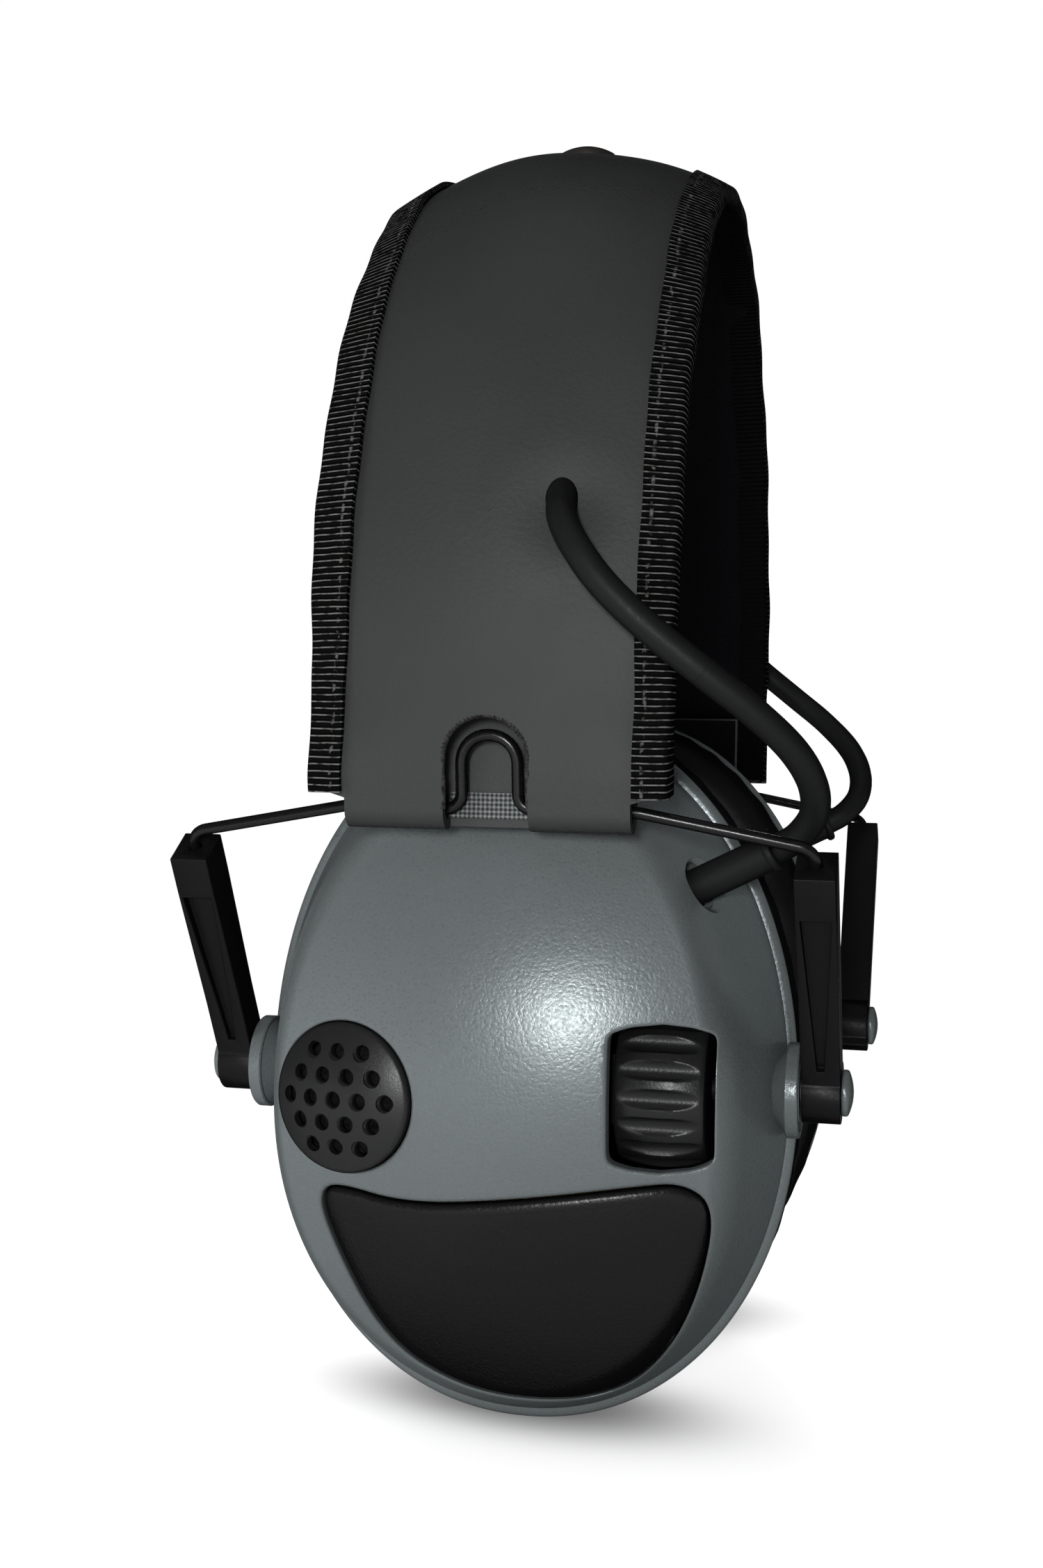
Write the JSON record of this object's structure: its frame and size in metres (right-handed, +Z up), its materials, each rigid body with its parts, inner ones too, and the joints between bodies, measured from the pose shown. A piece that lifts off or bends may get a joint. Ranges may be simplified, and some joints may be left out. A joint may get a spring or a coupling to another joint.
{
  "type": "earmuff hearing protector",
  "caption": "Over-head earmuff with a wide padded leather band, wire yokes with sliding arms, and grey electronic cups with microphone grilles, a volume wheel and cushions.",
  "frame": {"origin": "on the floor under the middle of the headset, level with the foot of both cups", "axes": "+Z up to the crown of the band, +X to the wearer's rear, -Y to the wearer's left ear"},
  "size_m": [0.0986, 0.1422, 0.2028],
  "materials": {
    "leather": "fine grain, satin",
    "lining": "smooth black lining over foam",
    "spring_steel": "bare",
    "tape": "ribbed woven tape",
    "rivet": "dark, satin",
    "rubber": "matte",
    "wire": "gloss black",
    "arm_plastic": "satin black",
    "cup_plastic": "satin slate grey with a fine sparkle",
    "dark_plastic": "matte black",
    "screw_steel": "bare",
    "cushion_vinyl": "smooth black vinyl",
    "foam": "open foam",
    "driver_metal": "satin",
    "grille_metal": "satin black",
    "board": "green",
    "cell": "gloss",
    "wheel_plastic": "semi-gloss black",
    "panel_plastic": "semi-gloss black"
  },
  "bodies": {
    "headband": {"headband_cover": "leather", "headband_pad": "lining", "band_spring": "spring_steel", "edge_binding_front": "tape", "edge_binding_rear": "tape", "crown_rivet": "rivet", "link_cord_left": "rubber", "link_cord_right": "rubber"},
    "yoke_left": {"yoke_wire_left": "wire"},
    "arms_left": {"arm_front_left": "arm_plastic", "arm_rear_left": "arm_plastic"},
    "cup_left": {"cup_shell_left": "cup_plastic", "pivot_pins_left": "cup_plastic", "base_plate_left": "dark_plastic", "base_screws_left": "screw_steel", "ear_cushion_left": "cushion_vinyl", "ear_foam_left": "foam", "baffle_left": "dark_plastic", "driver_left": "driver_metal", "mic_grille_left": "grille_metal", "mic_foam_left": "foam", "mic_capsule_left": "driver_metal", "cord_boot_left": "rubber", "circuit_board": "board", "volume_pot": "dark_plastic", "battery_tray": "dark_plastic", "battery_cells": "cell", "battery_contacts": "screw_steel"},
    "yoke_right": {"yoke_wire_right": "wire"},
    "arms_right": {"arm_front_right": "arm_plastic", "arm_rear_right": "arm_plastic"},
    "cup_right": {"cup_shell_right": "cup_plastic", "pivot_pins_right": "cup_plastic", "base_plate_right": "dark_plastic", "base_screws_right": "screw_steel", "ear_cushion_right": "cushion_vinyl", "ear_foam_right": "foam", "baffle_right": "dark_plastic", "driver_right": "driver_metal", "mic_grille_right": "grille_metal", "mic_foam_right": "foam", "mic_capsule_right": "driver_metal", "cord_boot_right": "rubber", "cup_panel_right": "panel_plastic"},
    "wheel": {"volume_wheel": "wheel_plastic"},
    "door": {"battery_door": "panel_plastic"}
  },
  "joints": [
    {"name": "yoke_swing_left", "type": "hinge", "parent": "headband", "child": "yoke_left", "pos_m": [0, -0.06071, 0.094], "axis": [1, 0, 0], "range_deg": [-8, 8], "deforming": ["link_cord_left"]},
    {"name": "arm_slide_left", "type": "slide", "parent": "yoke_left", "child": "arms_left", "axis": [0, -0.5299, 0.848], "range_m": [-0.018, 0], "deforming": ["link_cord_left"]},
    {"name": "cup_swivel_left", "type": "hinge", "parent": "arms_left", "child": "cup_left", "pos_m": [0, -0.036, 0.053], "axis": [-1, 0, 0], "range_deg": [-7, 7], "deforming": ["link_cord_left"]},
    {"name": "yoke_swing_right", "type": "hinge", "parent": "headband", "child": "yoke_right", "pos_m": [0, 0.06071, 0.094], "axis": [-1, 0, 0], "range_deg": [-8, 8], "deforming": ["link_cord_right"]},
    {"name": "arm_slide_right", "type": "slide", "parent": "yoke_right", "child": "arms_right", "axis": [0, 0.5299, 0.848], "range_m": [-0.018, 0], "deforming": ["link_cord_right"]},
    {"name": "cup_swivel_right", "type": "hinge", "parent": "arms_right", "child": "cup_right", "pos_m": [0, 0.036, 0.053], "axis": [1, 0, 0], "range_deg": [-7, 7], "deforming": ["link_cord_right"]},
    {"name": "volume_turn", "type": "hinge", "parent": "cup_left", "child": "wheel", "pos_m": [0.02385, -0.0478, 0.0546], "axis": [1, 0, 0], "range_deg": [0, 300]},
    {"name": "door_off", "type": "slide", "parent": "cup_left", "child": "door", "axis": [0, -1, 0], "range_m": [0, 0.025]}
  ]
}
